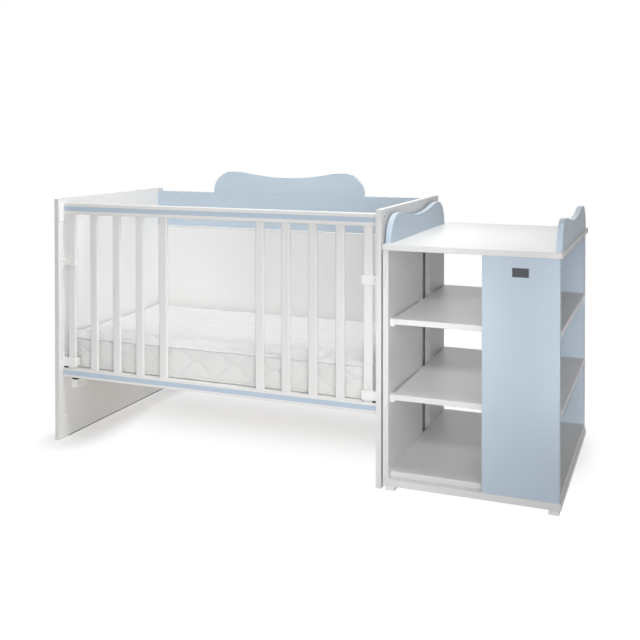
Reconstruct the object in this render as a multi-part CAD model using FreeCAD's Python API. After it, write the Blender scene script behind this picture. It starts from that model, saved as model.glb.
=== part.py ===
import FreeCAD, Part
import math
import os

Vector = FreeCAD.Vector
X_AXIS = Vector(1, 0, 0)
Y_AXIS = Vector(0, 1, 0)
Z_AXIS = Vector(0, 0, 1)

# Convertible crib with an open changing cabinet at its right end. Millimetres, +Z up.
# X runs along the crib from left to right, and Y from the front to the back.

# Boards and fits
board = 18.0                # thickness of every coated board but the cabinet's base
edge_round = 1.0            # rounding of the coated edges
fit_gap = 0.1               # clearance on each side of a glued, pegged or screwed joint
soft_gap = 0.3              # clearance under a soft piece
overrun = 5.0               # how far a cut runs past the face it opens

# Crib ends
crib_inside = 1218.0        # between the two end panels
crib_depth = 724.0
crib_height = 885.0

# Crib back
back_inset = 23.0           # end panels' rear edges to the back's rear face
back_rail_below = 11.0      # end panels' top edges to the rail's top edge
back_rail_height = 146.0
back_gap = 5.0              # open line between the rail and the panel under it
back_panel_height = 518.0

# Wavy boards: the crest on the crib's back and the two guards of the changing top
crest_length = 668.0
wave_hump_height = 90.0     # the two humps
wave_dip_height = 67.0      # the dip between them
wave_spread = 500.0         # between the tops of the two humps
wave_bend_share = 0.3       # where a hump's curve turns into the dip's, from hump to dip
guard_length = 698.0
guard_inset = 4.0           # top board's side edges to the guards
guard_front = 26.0          # top board's front edge to the guards
mat_gap = 2.0               # guards to the area for a changing mat
peg_spread_share = 0.76     # outer pegs of a wavy board, as a share of its length

# Drop side
side_below = 14.5           # end panels' top edges to the top rail's top edge
side_height = 642.0
side_travel = 156.0         # how far the side slides down
top_rail_height = 42.0
bottom_rail_height = 35.0
rail_depth = 22.0
rail_inset = 24.0           # end panels' front edges to the rails' front faces
rail_end_gap = 4.0
rail_round = 3.0
inlay_height = 16.0
inlay_depth = 3.0
slat_width = 33.0
slat_depth = 12.0
slat_round = 5.0
slat_pitch = 96.5
slat_first = 36.0           # end panel's face to the middle of the nearest slat
slat_tenon = 12.0
bank_slats = 5              # slats on each side of the open middle

# Slat guides on the end panels
guide_height = 30.0
guide_wall = 4.2
guide_front_wall = 8.0
guide_play = 0.6            # between a slat and its guide
guide_round = 1.5
ear_length = 14.0           # screw ears above and below a guide
ear_thickness = 3.5
stop_gap = 0.4              # between a rail and what stops it at the end of its travel
bumper_height = 7.0
bumper_inset = 2.5
button_radius = 5.0
button_length = 14.0
button_proud = 4.0
button_travel = 3.0
button_play = 0.05          # running fit of the button in its bore

# Guide plates at the ends of the top rail
plate_thickness = 3.4
plate_height = 64.0
plate_below = 17.0          # end panels' top edges to the plate's top edge
plate_front = 6.0           # end panels' front edges to the plate's front edge
lip_reach = 7.0             # how far the lip in front of the rail stands off the panel
lip_depth = 5.0
lip_gap = 0.5
plate_bolt_below = 24.0     # end panels' top edges to the bolt
plate_bolt_radius = 2.0
plate_bolt_head_radius = 4.5
plate_bolt_head = 2.5
plate_bolt_recess = 4.0

# Oval catch plates for the lowered side
catch_height = 40.0
catch_width = 18.0
catch_thickness = 2.5
catch_middle_height = 82.0
catch_middle_inset = 34.0   # end panels' front edges to the middle of the plate
catch_screw_spacing = 22.0

# Countersunk screws
screw_radius = 1.8
screw_head_radius = 3.6
screw_head_depth = 2.2
screw_length = 15.0

# Mattress base
base_below = 673.0          # end panels' top edges to the underside of the bearers
support_width = 22.0
support_length = 72.0
support_height = 32.0
support_pad = 6.0           # thickness of the pad between a support and its bearer
support_round = 2.0
support_front = 78.0        # end panels' front edges to the front supports
support_back = 24.0         # back panel's front face to the rear supports
support_screw_spacing = 34.0
support_screw_seat = 5.0    # plastic left under a support's screw head
bearer_depth = 20.0
bearer_height = 36.0
bearer_end_gap = 2.0
base_slat_width = 66.0
base_slat_thickness = 10.0
base_slat_end_gap = 10.0    # end panels' faces to the outer slats
base_slat_count = 11

# Mattress
mattress_height = 129.0
mattress_gap = 6.0          # to the end panels and the back
mattress_front_gap = 10.0   # to the side
mattress_corner = 28.0      # plan radius of the corners
mattress_rim_share = 0.856  # height of the upper piped edge, as a share of the mattress
mattress_foot_share = 0.117 # height of the lower piped edge
mattress_draw = 5.0         # how far the border is drawn in between the piped edges
mattress_tuck = 4.0         # how far the bottom face is drawn in
crown_reach = 190.0         # width of the sloping part of the crown

# Cabinet
cabinet_gap = 8.0           # crib's end panel to the cabinet's side panels
cabinet_forward = 8.0       # cabinet's front ahead of the crib's front edges
cabinet_width = 548.0
cabinet_depth = 742.0
cabinet_height = 777.0
base_thickness = 22.0
top_side_overhang = 3.0
top_front_overhang = 2.0
top_rear_overhang = 28.0
side_front_depth = 408.0
side_gap = 99.0             # between the front and rear side panels
cover_width = 231.0         # blue front and rear panels
cover_inset = 4.0           # base's right end to the blue panels
upper_shelf_height = 540.0  # floor to the shelf's top face
middle_shelf_height = 300.0
badge_width = 50.0
badge_height = 28.0
badge_thickness = 1.5
badge_below = 33.0          # front panel's top edge to the plate

# Cabinet feet
foot_height = 16.0
foot_side = 31.0
foot_inset = 6.0
foot_round = 2.0
foot_peg_radius = 4.0
foot_peg_length = 12.0

# Shelf brackets
bracket_thickness = 6.0
bracket_length = 32.0
bracket_ledge = 8.0
bracket_ledge_thickness = 6.0
bracket_end_gap = 8.0       # panels' far edges to the brackets

# Wooden dowels
dowel_radius = 4.0
dowel_length = 30.0
dowel_in_face = 8.0         # depth of a dowel in the face of a board
dowel_edge = 55.0           # edge of a board to its nearest dowel

# Bolts that join the cabinet to the crib
spacer_radius = 15.0
join_bolt_radius = 3.0
join_bolt_head_radius = 6.0
join_bolt_head = 2.5
join_bolt_depth = 12.0      # depth of the bolt in the cabinet's side panel
join_low_height = 140.0     # floor to the lower bolts
join_high_below = 139.0     # top board's underside to the upper bolts

# Levels and faces that follow from the sizes above
crib_length = crib_inside + 2 * board
left_face = board
right_face = board + crib_inside
crib_middle = crib_length / 2
back_rear = crib_depth - back_inset
back_front = back_rear - board
back_rail_top = crib_height - back_rail_below
back_rail_bottom = back_rail_top - back_rail_height
back_panel_top = back_rail_bottom - back_gap
back_panel_bottom = back_panel_top - back_panel_height

rail_front = rail_inset
rail_rear = rail_front + rail_depth
rail_middle = (rail_front + rail_rear) / 2
rail_left = left_face + rail_end_gap
rail_right = right_face - rail_end_gap
top_rail_top = crib_height - side_below
top_rail_bottom = top_rail_top - top_rail_height
bottom_rail_bottom = top_rail_top - side_height
bottom_rail_top = bottom_rail_bottom + bottom_rail_height
slat_front = rail_middle - slat_depth / 2
slat_rear = rail_middle + slat_depth / 2

upper_guide_bottom = top_rail_bottom - side_travel - stop_gap - guide_height
lower_guide_bottom = bottom_rail_top + stop_gap + bumper_height
guide_web = slat_first - slat_width / 2 - guide_play

base_height = crib_height - base_below
support_top = base_height - support_pad
bearer_top = base_height + bearer_height
base_top = bearer_top + base_slat_thickness
mattress_bottom = base_top + soft_gap
mattress_front = rail_rear + mattress_front_gap
mattress_rear = back_front - mattress_gap

cabinet_left = crib_length + cabinet_gap
cabinet_right = cabinet_left + cabinet_width
cabinet_front = -cabinet_forward
cabinet_rear = cabinet_front + cabinet_depth
base_board_top = foot_height + base_thickness
top_board_bottom = cabinet_height - board
side_inner = cabinet_left + board
side_front_rear = cabinet_front + side_front_depth
side_rear_front = side_front_rear + side_gap
cover_right = cabinet_right - cover_inset
cover_left = cover_right - cover_width
front_cover_back = cabinet_front + board
rear_cover_front = cabinet_rear - board
shelf_left = side_inner + bracket_thickness
shelf_front = front_cover_back + bracket_thickness
shelf_rear = rear_cover_front - bracket_thickness
top_left = cabinet_left - top_side_overhang
top_right = cabinet_right + top_side_overhang
top_front = cabinet_front - top_front_overhang
top_rear = cabinet_rear + top_rear_overhang

# The origin is on the floor, under the middle of the whole object.
origin = Vector(top_right / 2, (top_front + top_rear) / 2, 0)

pieces = {}


def block(x0, x1, y0, y1, z0, z1):
    """Box between two opposite corners."""
    return Part.makeBox(x1 - x0, y1 - y0, z1 - z0, Vector(x0, y0, z0))


def edges_along(solid, axis):
    """Straight edges of a solid that run along an axis."""
    found = []
    for edge in solid.Edges:
        direction = edge.Vertexes[1].Point - edge.Vertexes[0].Point
        if direction.cross(axis).Length < direction.Length * 1e-6:
            found.append(edge)
    return found


def coated(x0, x1, y0, y1, z0, z1):
    """Coated board with all its edges a little rounded."""
    solid = block(x0, x1, y0, y1, z0, z1)
    return solid.makeFillet(edge_round, solid.Edges)


def rounded(solid, axis, radius):
    """Solid whose edges along an axis are rounded."""
    return solid.makeFillet(radius, edges_along(solid, axis))


def rod(start, direction, length, radius):
    return Part.makeCylinder(radius, length, start, direction)


def join(solids):
    """One solid made of several that touch."""
    result = solids[0]
    for other in solids[1:]:
        result = result.fuse(other)
    return result.removeSplitter()


def mirrored(shape):
    """The same hardware at the other end of the crib."""
    return shape.mirror(Vector(crib_middle, 0, 0), X_AXIS)


def screw(head, direction, gap=0.0):
    """Countersunk screw, its head flush at a point. A gap makes the hole that it fits in."""
    cone = Part.makeCone(screw_head_radius + gap, screw_radius + gap, screw_head_depth, head, direction)
    shank = rod(head, direction, screw_length + gap, screw_radius + gap)
    return join([cone, shank])


def dowel(joint, direction, gap=0.0):
    """Dowel across a joint, with its short end in the face that the direction points into."""
    length = dowel_length + 2 * gap
    start = joint - direction * (dowel_length - dowel_in_face + gap)
    return rod(start, direction, length, dowel_radius + gap)


def dowels_and_holes(places):
    """Dowels at a list of joints and directions, and the holes that they fit in."""
    pegs = [dowel(joint, direction) for joint, direction in places]
    holes = [dowel(joint, direction, fit_gap) for joint, direction in places]
    return pegs, holes


def wavy_board(length):
    """Board with two humps, standing on Y = 0 in the XY plane and centred on X = 0."""
    hump_x = wave_spread / 2
    end_x = length / 2
    end_radius = min(end_x - hump_x, wave_hump_height)
    shoulder = end_x - end_radius
    drop = wave_hump_height - wave_dip_height
    turn = 2 * math.atan2(drop, hump_x)
    bend_x = hump_x * (1 - wave_bend_share)
    bend_y = wave_hump_height - drop * wave_bend_share
    hump_radius = hump_x * wave_bend_share / math.sin(turn)
    dip_radius = hump_x * (1 - wave_bend_share) / math.sin(turn)
    half_turn_x = math.sin(turn / 2)
    half_turn_y = 1 - math.cos(turn / 2)
    diagonal = math.sqrt(0.5)

    foot = Vector(end_x, 0, 0)
    spring = Vector(end_x, wave_hump_height - end_radius, 0)
    end_middle = Vector(
        shoulder + end_radius * diagonal, wave_hump_height - end_radius * (1 - diagonal), 0
    )
    flat = Vector(shoulder, wave_hump_height, 0)
    hump = Vector(hump_x, wave_hump_height, 0)
    hump_middle = Vector(hump_x - hump_radius * half_turn_x, wave_hump_height - hump_radius * half_turn_y, 0)
    bend = Vector(bend_x, bend_y, 0)
    dip_middle = Vector(dip_radius * half_turn_x, wave_dip_height + dip_radius * half_turn_y, 0)
    dip = Vector(0, wave_dip_height, 0)

    half = []
    if spring.y > fit_gap:
        half.append(Part.LineSegment(foot, spring).toShape())
    half.append(Part.Arc(spring, end_middle, flat).toShape())
    if flat.distanceToPoint(hump) > fit_gap:
        half.append(Part.LineSegment(flat, hump).toShape())
    half.append(Part.Arc(hump, hump_middle, bend).toShape())
    half.append(Part.Arc(bend, dip_middle, dip).toShape())
    other_half = [edge.mirror(Vector(), X_AXIS) for edge in half]
    floor = Part.LineSegment(half[0].Vertexes[0].Point, other_half[0].Vertexes[0].Point).toShape()
    outline = Part.Wire(Part.__sortEdges__(half + other_half + [floor]))
    solid = Part.Face(outline).extrude(Z_AXIS * board)
    rims = []
    for edge in solid.Edges:
        box = edge.BoundBox
        if box.ZLength < fit_gap and box.YMax > fit_gap:
            rims.append(edge)
    return solid.makeFillet(edge_round, rims)


def stand(flat_board, corner, along):
    """Stand a flat outline up, its length along X or Y, with its near face at a corner."""
    turned = flat_board.copy()
    turned.rotate(Vector(), X_AXIS, 90)
    if along == Y_AXIS:
        turned.rotate(Vector(), Z_AXIS, 90)
    else:
        turned.translate(Y_AXIS * board)
    turned.translate(corner)
    return turned


def wave_pegs(middle, along, length):
    """Places of the dowels under a wavy board."""
    reach = along * (length * peg_spread_share / 2)
    return [(middle + reach * step, -Z_AXIS) for step in (-1, 0, 1)]


def stadium(middle, height, width, start, thickness):
    """Upright oval plate with round ends, its thickness along X."""
    radius = width / 2
    half_straight = height / 2 - radius
    low = Vector(start, middle.y, middle.z - half_straight)
    high = Vector(start, middle.y, middle.z + half_straight)
    bar = block(
        start, start + thickness, middle.y - radius, middle.y + radius, low.z, high.z
    )
    ends = [rod(low, X_AXIS, thickness, radius), rod(high, X_AXIS, thickness, radius)]
    return join([bar] + ends)


# Slat guides, drawn at the left end panel
guide_far = left_face + slat_first + slat_width / 2 + guide_play + guide_wall
guide_front = slat_front - guide_play - guide_front_wall
guide_rear = slat_rear + guide_play + guide_wall
guide_screw_offset = ear_length / 2


def guide_screw_places(bottom):
    below = Vector(left_face + ear_thickness, rail_middle, bottom - guide_screw_offset)
    above = Vector(left_face + ear_thickness, rail_middle, bottom + guide_height + guide_screw_offset)
    return [below, above]


def slat_guide(bottom):
    """Moulded loop that the outermost slat slides through, with a screw ear at each end."""
    top = bottom + guide_height
    body = block(left_face, guide_far, guide_front, guide_rear, bottom, top)
    body = rounded(body, Z_AXIS, guide_round)
    slot_left = left_face + guide_web
    slot = block(
        slot_left,
        slot_left + slat_width + 2 * guide_play,
        slat_front - guide_play,
        slat_rear + guide_play,
        bottom - overrun,
        top + overrun,
    )
    ear = block(
        left_face,
        left_face + ear_thickness,
        guide_front + guide_round,
        guide_rear - guide_round,
        bottom - ear_length,
        top + ear_length,
    )
    holes = [screw(place, -X_AXIS, fit_gap) for place in guide_screw_places(bottom)]
    return join([body, ear]).cut([slot] + holes)


button_x = left_face + guide_web / 2
button_z = upper_guide_bottom + guide_height / 2
button_front = guide_front - button_proud
button = rod(Vector(button_x, button_front, button_z), Y_AXIS, button_length, button_radius)
button_bore = rod(
    Vector(button_x, guide_front - overrun, button_z),
    Y_AXIS,
    overrun + button_length - button_proud + button_travel + stop_gap,
    button_radius + button_play,
)

upper_guide = slat_guide(upper_guide_bottom).cut(button_bore)
lower_guide = slat_guide(lower_guide_bottom)
bumper = block(
    left_face + ear_thickness + bumper_inset,
    left_face + guide_web - guide_play,
    guide_front + bumper_inset,
    guide_rear - bumper_inset,
    lower_guide_bottom - bumper_height,
    lower_guide_bottom,
)

# Guide plates behind and in front of the top rail's ends
plate_top = crib_height - plate_below
plate_bottom = plate_top - plate_height
lip_rear = rail_front - lip_gap
bolt_height = crib_height - plate_bolt_below


def plate_bolt(gap=0.0):
    """Bolt through the end panel into the guide plate, its head sunk in the outer face."""
    head_start = Vector(plate_bolt_recess - plate_bolt_head - gap, rail_middle, bolt_height)
    head = rod(head_start, X_AXIS, plate_bolt_head + gap, plate_bolt_head_radius + gap)
    shank_end = left_face + plate_thickness
    shank = rod(head_start, X_AXIS, shank_end - head_start.x, plate_bolt_radius + gap)
    return join([head, shank])


plate_back = block(
    left_face, left_face + plate_thickness, plate_front, rail_rear, plate_bottom, plate_top
)
plate_lip = block(
    left_face, left_face + lip_reach, lip_rear - lip_depth, lip_rear, plate_bottom, plate_top
)
rail_plate = join([plate_back, plate_lip]).cut(plate_bolt(fit_gap))
bolt_recess = rod(
    Vector(-overrun, rail_middle, bolt_height),
    X_AXIS,
    overrun + plate_bolt_recess,
    plate_bolt_head_radius + fit_gap,
)

# Oval catch plates
catch_middle = Vector(left_face, catch_middle_inset, catch_middle_height)
catch_screw_places = [
    catch_middle + X_AXIS * catch_thickness + Z_AXIS * (catch_screw_spacing / 2 * step)
    for step in (-1, 1)
]
catch_plate = stadium(catch_middle, catch_height, catch_width, left_face, catch_thickness)
catch_plate = catch_plate.cut([screw(place, -X_AXIS, fit_gap) for place in catch_screw_places])

# Supports of the mattress base
support_front_start = support_front
support_rear_start = back_front - support_back - support_length
support_starts = [support_front_start, support_rear_start]


def support_screw_places(start):
    """Screw heads of one support, each at the bottom of its access hole."""
    middle = start + support_length / 2
    height = support_top - support_height / 2
    seat = left_face + support_screw_seat
    return [
        Vector(seat, middle + support_screw_spacing / 2 * step, height) for step in (-1, 1)
    ]


def base_support(start):
    body = block(
        left_face,
        left_face + support_width,
        start,
        start + support_length,
        support_top - support_height,
        support_top,
    )
    body = rounded(body, X_AXIS, support_round)
    holes = []
    for place in support_screw_places(start):
        holes.append(screw(place, -X_AXIS, fit_gap))
        holes.append(rod(place, X_AXIS, support_width + overrun, screw_head_radius + fit_gap))
    return body.cut(holes)


def bearer_pad(start):
    """Rubber pad on a support, under the bearer."""
    return block(
        left_face, left_face + support_width, start, start + support_length, support_top, base_height
    )


supports = [base_support(start) for start in support_starts]
pads = [bearer_pad(start) for start in support_starts]

# All countersunk screws of one end panel
hardware_places = guide_screw_places(upper_guide_bottom) + guide_screw_places(lower_guide_bottom)
hardware_places += catch_screw_places
for start in support_starts:
    hardware_places += support_screw_places(start)
hardware_screws = [screw(place, -X_AXIS) for place in hardware_places]
hardware_holes = [screw(place, -X_AXIS, fit_gap) for place in hardware_places]

# Dowels of the crib's back
back_middle = (back_front + back_rear) / 2
back_peg_heights = [
    back_rail_bottom + board,
    back_rail_top - board,
    back_panel_bottom + dowel_edge,
    (back_panel_bottom + back_panel_top) / 2,
    back_panel_top - dowel_edge,
]
back_places = []
for height in back_peg_heights:
    back_places.append((Vector(left_face, back_middle, height), -X_AXIS))
    back_places.append((Vector(right_face, back_middle, height), X_AXIS))
back_pegs, back_holes = dowels_and_holes(back_places)
crest_places = wave_pegs(Vector(crib_middle, back_middle, back_rail_top), X_AXIS, crest_length)
crest_pegs, crest_holes = dowels_and_holes(crest_places)

# Bolts between the crib and the cabinet
join_lines = [
    (cabinet_front + side_front_rear) / 2,
    (side_rear_front + rear_cover_front) / 2,
]
join_heights = [join_low_height, top_board_bottom - join_high_below]
join_places = [
    Vector(right_face, y, z) for y in join_lines for z in join_heights
]
join_shank = board + cabinet_gap + join_bolt_depth


def join_bolt(place):
    head = rod(place, -X_AXIS, join_bolt_head, join_bolt_head_radius)
    shank = rod(place, X_AXIS, join_shank, join_bolt_radius)
    return join([head, shank])


join_holes = [
    rod(place, X_AXIS, join_shank + fit_gap, join_bolt_radius + fit_gap) for place in join_places
]
spacers = [
    rod(Vector(crib_length, place.y, place.z), X_AXIS, cabinet_gap, spacer_radius)
    for place in join_places
]

# Crib ends and back
left_panel = coated(0, left_face, 0, crib_depth, 0, crib_height)
left_panel = left_panel.cut(hardware_holes + [bolt_recess, plate_bolt(fit_gap)])
right_panel = mirrored(left_panel)
pieces["end_panel_left"] = left_panel.cut(back_holes)
pieces["end_panel_right"] = right_panel.cut(back_holes + join_holes)
pieces["back_panel"] = coated(
    left_face, right_face, back_front, back_rear, back_panel_bottom, back_panel_top
).cut(back_holes)
pieces["back_rail"] = coated(
    left_face, right_face, back_front, back_rear, back_rail_bottom, back_rail_top
).cut(back_holes + crest_holes)
crest = stand(wavy_board(crest_length), Vector(crib_middle, back_front, back_rail_top), X_AXIS)
pieces["back_crest"] = crest.cut(crest_holes)
pieces["crib_dowels"] = Part.makeCompound(back_pegs + crest_pegs)

# Hardware on both end panels
for name, left_piece in (
    ("upper_guide", upper_guide),
    ("lower_guide", lower_guide),
    ("release_button", button),
    ("guide_bumper", bumper),
    ("rail_plate", rail_plate),
    ("catch_plate", catch_plate),
):
    pieces[name + "_left"] = left_piece
    pieces[name + "_right"] = mirrored(left_piece)
plate_bolts = [plate_bolt(), mirrored(plate_bolt())]
pieces["plate_bolts"] = Part.makeCompound(plate_bolts)
pieces["hardware_screws"] = Part.makeCompound(
    hardware_screws + [mirrored(piece) for piece in hardware_screws]
)

# Mattress base: supports, pads, bearers and slats
pieces["base_supports"] = Part.makeCompound(supports + [mirrored(piece) for piece in supports])
pieces["support_pads"] = Part.makeCompound(pads + [mirrored(piece) for piece in pads])
for name, start in (("front", support_front_start), ("rear", support_rear_start)):
    bearer_front = start + (support_length - bearer_depth) / 2
    pieces["base_bearer_" + name] = block(
        left_face + bearer_end_gap,
        right_face - bearer_end_gap,
        bearer_front,
        bearer_front + bearer_depth,
        base_height,
        bearer_top,
    )
slat_run = crib_inside - 2 * base_slat_end_gap - base_slat_width
base_slats = []
for index in range(base_slat_count):
    slat_left = left_face + base_slat_end_gap + slat_run * index / (base_slat_count - 1)
    base_slats.append(
        block(
            slat_left,
            slat_left + base_slat_width,
            mattress_front,
            mattress_rear,
            bearer_top,
            base_top,
        )
    )
pieces["base_slats"] = Part.makeCompound(base_slats)


# Mattress
def mattress_section(inset, height):
    """Round-cornered outline of the mattress, drawn in by an inset at a height above its bottom."""
    x0 = left_face + mattress_gap + inset
    x1 = right_face - mattress_gap - inset
    y0 = mattress_front + inset
    y1 = mattress_rear - inset
    z = mattress_bottom + height
    radius = mattress_corner
    slope = radius * (1 - math.sqrt(0.5))
    corners = [(x0, y0, 1, 1), (x1, y0, -1, 1), (x1, y1, -1, -1), (x0, y1, 1, -1)]
    edges = []
    ends = []
    for index, (x, y, right, up) in enumerate(corners):
        on_x_side = Vector(x + right * radius, y, z)
        on_y_side = Vector(x, y + up * radius, z)
        middle = Vector(x + right * slope, y + up * slope, z)
        first, last = (on_y_side, on_x_side) if index % 2 == 0 else (on_x_side, on_y_side)
        edges.append(Part.Arc(first, middle, last).toShape())
        ends.append((first, last))
    for index in range(len(corners)):
        following = (index + 1) % len(corners)
        edges.append(Part.LineSegment(ends[index][1], ends[following][0]).toShape())
    return Part.Wire(Part.__sortEdges__(edges))


def mattress():
    """Drawn-in border between two piped edges, under a crowned top."""
    foot = mattress_height * mattress_foot_share
    rim = mattress_height * mattress_rim_share
    crown = mattress_height - rim
    border_middle = (foot + rim) / 2
    crown_steps = 5
    sections = [
        mattress_section(mattress_tuck, 0),
        mattress_section(mattress_draw, foot / 2),
        mattress_section(0, foot),
        mattress_section(mattress_draw, (foot + border_middle) / 2),
        mattress_section(mattress_draw, (rim + border_middle) / 2),
        mattress_section(0, rim),
    ]
    for step in range(1, crown_steps + 1):
        share = step / crown_steps
        inset = crown_reach * share ** 3
        sections.append(mattress_section(inset, rim + crown * math.sin(share * math.pi / 2)))
    return Part.makeLoft(sections, True, True)


pieces["mattress"] = mattress()

# Drop side: rails with a blue inlay, and two banks of slats
slat_low = bottom_rail_top - slat_tenon + fit_gap
slat_high = top_rail_bottom + slat_tenon - fit_gap
left_bank = [left_face + slat_first + slat_pitch * index for index in range(bank_slats)]
right_bank = [crib_length - middle for middle in reversed(left_bank)]
slat_middles = left_bank + right_bank


def mortises(low, high):
    """Pockets for all the slats in one rail."""
    reach = slat_width / 2 + fit_gap
    return [
        block(
            middle - reach, middle + reach, slat_front - fit_gap, slat_rear + fit_gap, low, high
        )
        for middle in slat_middles
    ]


def drop_rail(bottom, height, pockets):
    body = block(rail_left, rail_right, rail_front, rail_rear, bottom, bottom + height)
    body = rounded(body, X_AXIS, rail_round)
    groove_low = bottom + (height - inlay_height) / 2 - fit_gap
    groove = block(
        rail_left - overrun,
        rail_right + overrun,
        rail_front - overrun,
        rail_front + inlay_depth,
        groove_low,
        groove_low + inlay_height + 2 * fit_gap,
    )
    return body.cut(pockets + [groove])


def inlay(bottom, height):
    low = bottom + (height - inlay_height) / 2
    return block(rail_left, rail_right, rail_front, rail_front + inlay_depth, low, low + inlay_height)


top_pockets = mortises(top_rail_bottom - overrun, top_rail_bottom + slat_tenon)
bottom_pockets = mortises(bottom_rail_top - slat_tenon, bottom_rail_top + overrun)
pieces["drop_top_rail"] = drop_rail(top_rail_bottom, top_rail_height, top_pockets)
pieces["drop_bottom_rail"] = drop_rail(bottom_rail_bottom, bottom_rail_height, bottom_pockets)
pieces["top_rail_inlay"] = inlay(top_rail_bottom, top_rail_height)
pieces["bottom_rail_inlay"] = inlay(bottom_rail_bottom, bottom_rail_height)
for number, middle in enumerate(slat_middles, start=1):
    slat = block(
        middle - slat_width / 2, middle + slat_width / 2, slat_front, slat_rear, slat_low, slat_high
    )
    pieces["slat_%d" % number] = rounded(slat, Z_AXIS, slat_round)

# Cabinet dowels, at the top and bottom edges of its upright panels and under the guards
side_middle = cabinet_left + board / 2
upright_pegs = [
    Vector(side_middle, cabinet_front + dowel_edge, 0),
    Vector(side_middle, side_front_rear - dowel_edge, 0),
    Vector(side_middle, side_rear_front + dowel_edge, 0),
    Vector(side_middle, rear_cover_front - dowel_edge, 0),
]
for y in ((cabinet_front + front_cover_back) / 2, (rear_cover_front + cabinet_rear) / 2):
    upright_pegs.append(Vector(cover_left + dowel_edge, y, 0))
    upright_pegs.append(Vector(cover_right - dowel_edge, y, 0))
low_places = [(place + Z_AXIS * base_board_top, -Z_AXIS) for place in upright_pegs]
high_places = [(place + Z_AXIS * top_board_bottom, Z_AXIS) for place in upright_pegs]
upright_dowels, upright_holes = dowels_and_holes(low_places + high_places)

guard_start = top_front + guard_front
guard_middle_y = guard_start + guard_length / 2
guard_lefts = [top_left + guard_inset, top_right - guard_inset - board]
guard_places = []
for left in guard_lefts:
    guard_middle = Vector(left + board / 2, guard_middle_y, cabinet_height)
    guard_places += wave_pegs(guard_middle, Y_AXIS, guard_length)
guard_dowels, guard_holes = dowels_and_holes(guard_places)
pieces["cabinet_dowels"] = Part.makeCompound(upright_dowels + guard_dowels)


# Shelf brackets: an upright between a panel and the shelf's edge, and a ledge under the shelf
def shelf_bracket(corner, inward, shelf_height):
    """Bracket whose upright's near end is at a corner of a panel's face, and its screw's place."""
    sideways = inward.cross(Z_AXIS)
    sideways = Vector(abs(sideways.x), abs(sideways.y), 0)
    bottom = shelf_height - board - bracket_ledge_thickness
    low = Vector(corner.x, corner.y, bottom)
    upright_size = inward * bracket_thickness + sideways * bracket_length
    upright_high = low + upright_size + Z_AXIS * (shelf_height - bottom)
    ledge_start = low + inward * bracket_thickness
    ledge_high = (
        ledge_start
        + inward * bracket_ledge
        + sideways * bracket_length
        + Z_AXIS * bracket_ledge_thickness
    )
    solids = []
    for first, last in ((low, upright_high), (ledge_start, ledge_high)):
        solids.append(
            block(
                min(first.x, last.x),
                max(first.x, last.x),
                min(first.y, last.y),
                max(first.y, last.y),
                first.z,
                last.z,
            )
        )
    place = low + inward * bracket_thickness + sideways * (bracket_length / 2)
    place += Z_AXIS * (bracket_ledge_thickness + board / 2)
    return join(solids).cut(screw(place, -inward, fit_gap)), (place, -inward)


bracket_corners = [
    (Vector(side_inner, shelf_front, 0), X_AXIS),
    (Vector(side_inner, side_front_rear - bracket_end_gap - bracket_length, 0), X_AXIS),
    (Vector(side_inner, side_rear_front + bracket_end_gap, 0), X_AXIS),
    (Vector(side_inner, shelf_rear - bracket_length, 0), X_AXIS),
    (Vector(cover_left + bracket_end_gap, front_cover_back, 0), Y_AXIS),
    (Vector(cover_right - bracket_end_gap - bracket_length, front_cover_back, 0), Y_AXIS),
    (Vector(cover_left + bracket_end_gap, rear_cover_front, 0), -Y_AXIS),
    (Vector(cover_right - bracket_end_gap - bracket_length, rear_cover_front, 0), -Y_AXIS),
]
brackets = []
bracket_screws = []
bracket_holes = []
for shelf_height in (middle_shelf_height, upper_shelf_height):
    for corner, inward in bracket_corners:
        bracket, (place, direction) = shelf_bracket(corner, inward, shelf_height)
        brackets.append(bracket)
        bracket_screws.append(screw(place, direction))
        bracket_holes.append(screw(place, direction, fit_gap))
pieces["shelf_brackets"] = Part.makeCompound(brackets)
pieces["bracket_screws"] = Part.makeCompound(bracket_screws)

# Cabinet feet, each with a peg in the base board
foot_xs = [cabinet_left + foot_inset, cabinet_right - foot_inset - foot_side]
foot_ys = [cabinet_front + foot_inset, cabinet_rear - foot_inset - foot_side]
feet = []
foot_holes = []
for x in foot_xs:
    for y in foot_ys:
        pad = rounded(block(x, x + foot_side, y, y + foot_side, 0, foot_height), Z_AXIS, foot_round)
        peg_foot = Vector(x + foot_side / 2, y + foot_side / 2, 0)
        peg = rod(peg_foot, Z_AXIS, foot_height + foot_peg_length, foot_peg_radius)
        feet.append(join([pad, peg]))
        foot_holes.append(
            rod(
                peg_foot,
                Z_AXIS,
                foot_height + foot_peg_length + fit_gap,
                foot_peg_radius + fit_gap,
            )
        )
pieces["cabinet_feet"] = Part.makeCompound(feet)

# Cabinet boards
pieces["cabinet_base"] = coated(
    cabinet_left, cabinet_right, cabinet_front, cabinet_rear, foot_height, base_board_top
).cut(foot_holes + upright_holes)
pieces["side_panel_front"] = coated(
    cabinet_left, side_inner, cabinet_front, side_front_rear, base_board_top, top_board_bottom
).cut(upright_holes + bracket_holes + join_holes)
pieces["side_panel_rear"] = coated(
    cabinet_left, side_inner, side_rear_front, rear_cover_front, base_board_top, top_board_bottom
).cut(upright_holes + bracket_holes + join_holes)
pieces["front_cover"] = coated(
    cover_left, cover_right, cabinet_front, front_cover_back, base_board_top, top_board_bottom
).cut(upright_holes + bracket_holes)
pieces["rear_cover"] = coated(
    cover_left, cover_right, rear_cover_front, cabinet_rear, base_board_top, top_board_bottom
).cut(upright_holes + bracket_holes)
pieces["shelf_lower"] = coated(
    side_inner, cover_right, shelf_front, rear_cover_front, base_board_top, base_board_top + board
)
for name, height in (("middle", middle_shelf_height), ("upper", upper_shelf_height)):
    pieces["shelf_" + name] = coated(
        shelf_left, cover_right, shelf_front, shelf_rear, height - board, height
    )

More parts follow.
